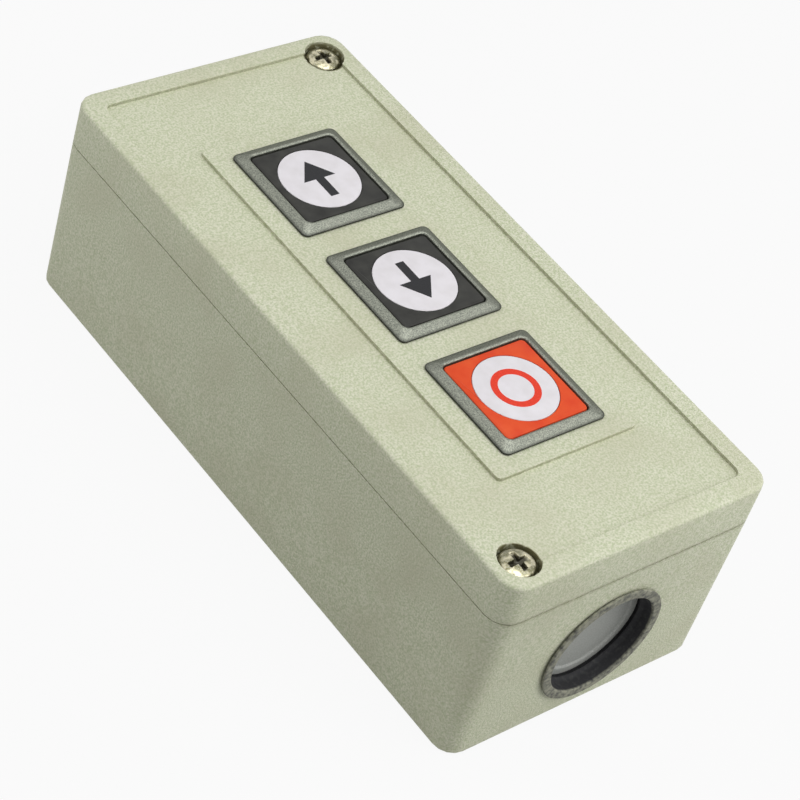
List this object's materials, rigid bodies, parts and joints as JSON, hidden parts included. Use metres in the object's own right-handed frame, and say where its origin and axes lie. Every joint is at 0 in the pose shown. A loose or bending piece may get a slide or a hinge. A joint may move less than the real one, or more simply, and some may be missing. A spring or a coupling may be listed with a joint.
{
  "type": "pushbutton control station",
  "caption": "Surface-mounted pushbutton control station: a deep moulded box with a screwed cover, a row of square spring-return buttons with round legend discs, and a cable entry at one end.",
  "frame": {"origin": "centre of the base's flat back face", "axes": "+Z out of the back towards the buttons, +Y along the row of buttons away from the cable entry, +X across"},
  "size_m": [0.064, 0.1407, 0.048],
  "materials": {
    "casing": "light olive-cream moulded plastic with a fine grain",
    "bezel": "satin grey metal",
    "black_cap": "satin black",
    "red_cap": "satin orange-red",
    "disc": "satin white",
    "rubber": "matt black",
    "blank": "matt grey",
    "plated_screw": "yellow-passivated zinc plate",
    "brass": "machined",
    "copper": "rolled copper strip with riveted contacts",
    "spring_steel": "drawn wire and punched strip",
    "natural_nylon": "natural moulded nylon",
    "phenolic": "black moulded phenolic"
  },
  "bodies": {
    "casing": {"base_housing": "casing", "cover": "casing", "cover_screw_far": "plated_screw", "cover_screw_near": "plated_screw", "insert_far": "brass", "insert_near": "brass", "entry_bush": "rubber", "entry_blank": "blank", "bezel_forward": "bezel", "bezel_reverse": "bezel", "bezel_stop": "bezel", "return_spring_forward": "spring_steel", "return_spring_reverse": "spring_steel", "return_spring_stop": "spring_steel", "block_body_forward": "phenolic", "block_body_reverse": "phenolic", "block_body_stop": "phenolic", "block_lid_forward": "phenolic", "block_lid_reverse": "phenolic", "block_lid_stop": "phenolic", "terminal_forward_right": "brass", "terminal_forward_left": "brass", "terminal_reverse_right": "brass", "terminal_reverse_left": "brass", "terminal_stop_right": "brass", "terminal_stop_left": "brass", "terminal_screw_forward_right": "plated_screw", "terminal_screw_forward_left": "plated_screw", "terminal_screw_reverse_right": "plated_screw", "terminal_screw_reverse_left": "plated_screw", "terminal_screw_stop_right": "plated_screw", "terminal_screw_stop_left": "plated_screw", "block_screw_forward_right": "plated_screw", "block_screw_forward_left": "plated_screw", "block_screw_reverse_right": "plated_screw", "block_screw_reverse_left": "plated_screw", "block_screw_stop_right": "plated_screw", "block_screw_stop_left": "plated_screw"},
    "operator_forward": {"button_forward": "black_cap", "legend_disc_forward": "disc", "plunger_forward": "natural_nylon", "spring_clip_forward": "spring_steel"},
    "operator_reverse": {"button_reverse": "black_cap", "legend_disc_reverse": "disc", "plunger_reverse": "natural_nylon", "spring_clip_reverse": "spring_steel"},
    "operator_stop": {"button_stop": "red_cap", "legend_disc_stop": "disc", "plunger_stop": "natural_nylon", "spring_clip_stop": "spring_steel"},
    "bridge_forward": {"contact_bridge_forward": "copper", "contact_spring_forward": "spring_steel"},
    "bridge_reverse": {"contact_bridge_reverse": "copper", "contact_spring_reverse": "spring_steel"},
    "bridge_stop": {"contact_bridge_stop": "copper", "contact_spring_stop": "spring_steel"}
  },
  "joints": [
    {"name": "press_forward", "type": "slide", "parent": "casing", "child": "operator_forward", "axis": [0, 0, -1], "range_m": [0, 0.004], "stiffness_N_per_m": 600, "springref_m": -0.005, "deforming": ["return_spring_forward"]},
    {"name": "press_reverse", "type": "slide", "parent": "casing", "child": "operator_reverse", "axis": [0, 0, -1], "range_m": [0, 0.004], "stiffness_N_per_m": 600, "springref_m": -0.005, "deforming": ["return_spring_reverse"]},
    {"name": "press_stop", "type": "slide", "parent": "casing", "child": "operator_stop", "axis": [0, 0, -1], "range_m": [0, 0.004], "stiffness_N_per_m": 600, "springref_m": -0.005, "deforming": ["return_spring_stop"]},
    {"name": "bridge_float_forward", "type": "slide", "parent": "operator_forward", "child": "bridge_forward", "axis": [0, 0, 1], "range_m": [0, 0.001], "deforming": ["contact_spring_forward"]},
    {"name": "bridge_float_reverse", "type": "slide", "parent": "operator_reverse", "child": "bridge_reverse", "axis": [0, 0, 1], "range_m": [0, 0.001], "deforming": ["contact_spring_reverse"]},
    {"name": "bridge_float_stop", "type": "slide", "parent": "operator_stop", "child": "bridge_stop", "axis": [0, 0, 1], "range_m": [0, 0.001], "deforming": ["contact_spring_stop"]}
  ],
  "couplings": [
    {"joint": "bridge_float_forward", "follows": "press_forward", "ratio": 0.25},
    {"joint": "bridge_float_reverse", "follows": "press_reverse", "ratio": 0.25},
    {"joint": "bridge_float_stop", "follows": "press_stop", "ratio": 0.25}
  ]
}
